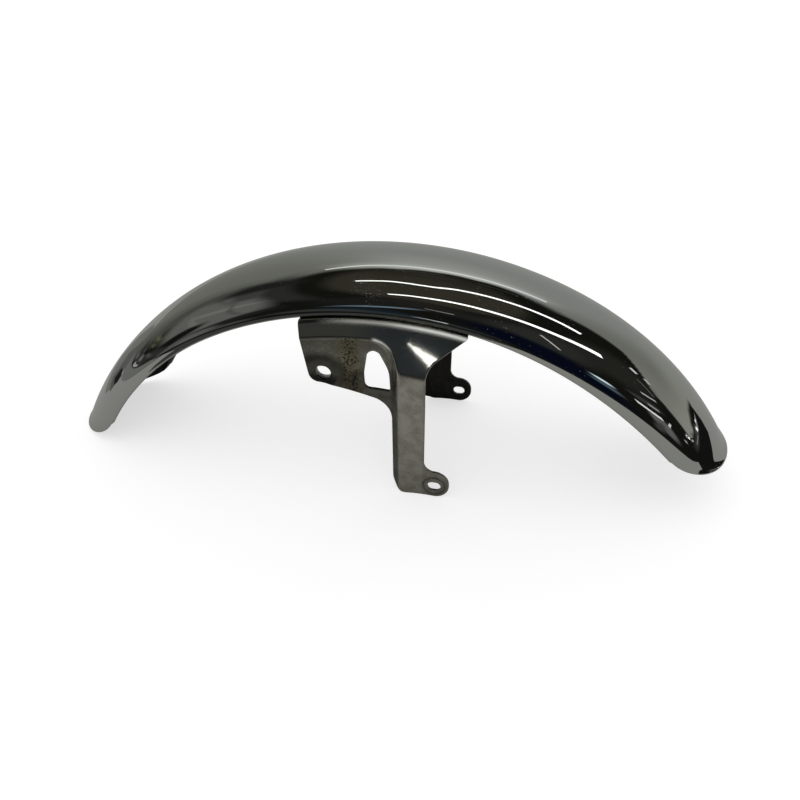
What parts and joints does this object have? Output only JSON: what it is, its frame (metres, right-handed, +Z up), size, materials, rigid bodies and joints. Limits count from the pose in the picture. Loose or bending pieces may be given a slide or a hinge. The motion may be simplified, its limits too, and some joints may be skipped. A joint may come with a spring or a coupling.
{
  "type": "motorcycle front mudguard",
  "caption": "Pressed and chromed steel front mudguard of a motorcycle, with spoon-shaped ends, rolled lips and a welded stay inside each side wall.",
  "frame": {"origin": "on the ground under the middle of the bounding box, with the guard standing on the feet of its stays and on its tail", "axes": "+X to the front of the motorcycle, +Y to its left side, +Z up"},
  "size_m": [0.606, 0.1422, 0.1882],
  "materials": {
    "blade_chrome": "polished chrome with fine scuffs",
    "stay_chrome": "dulled chrome with brown rust specks"
  },
  "bodies": {
    "root": {"blade": "blade_chrome", "right_bracket": "stay_chrome", "left_bracket": "stay_chrome"}
  },
  "joints": []
}
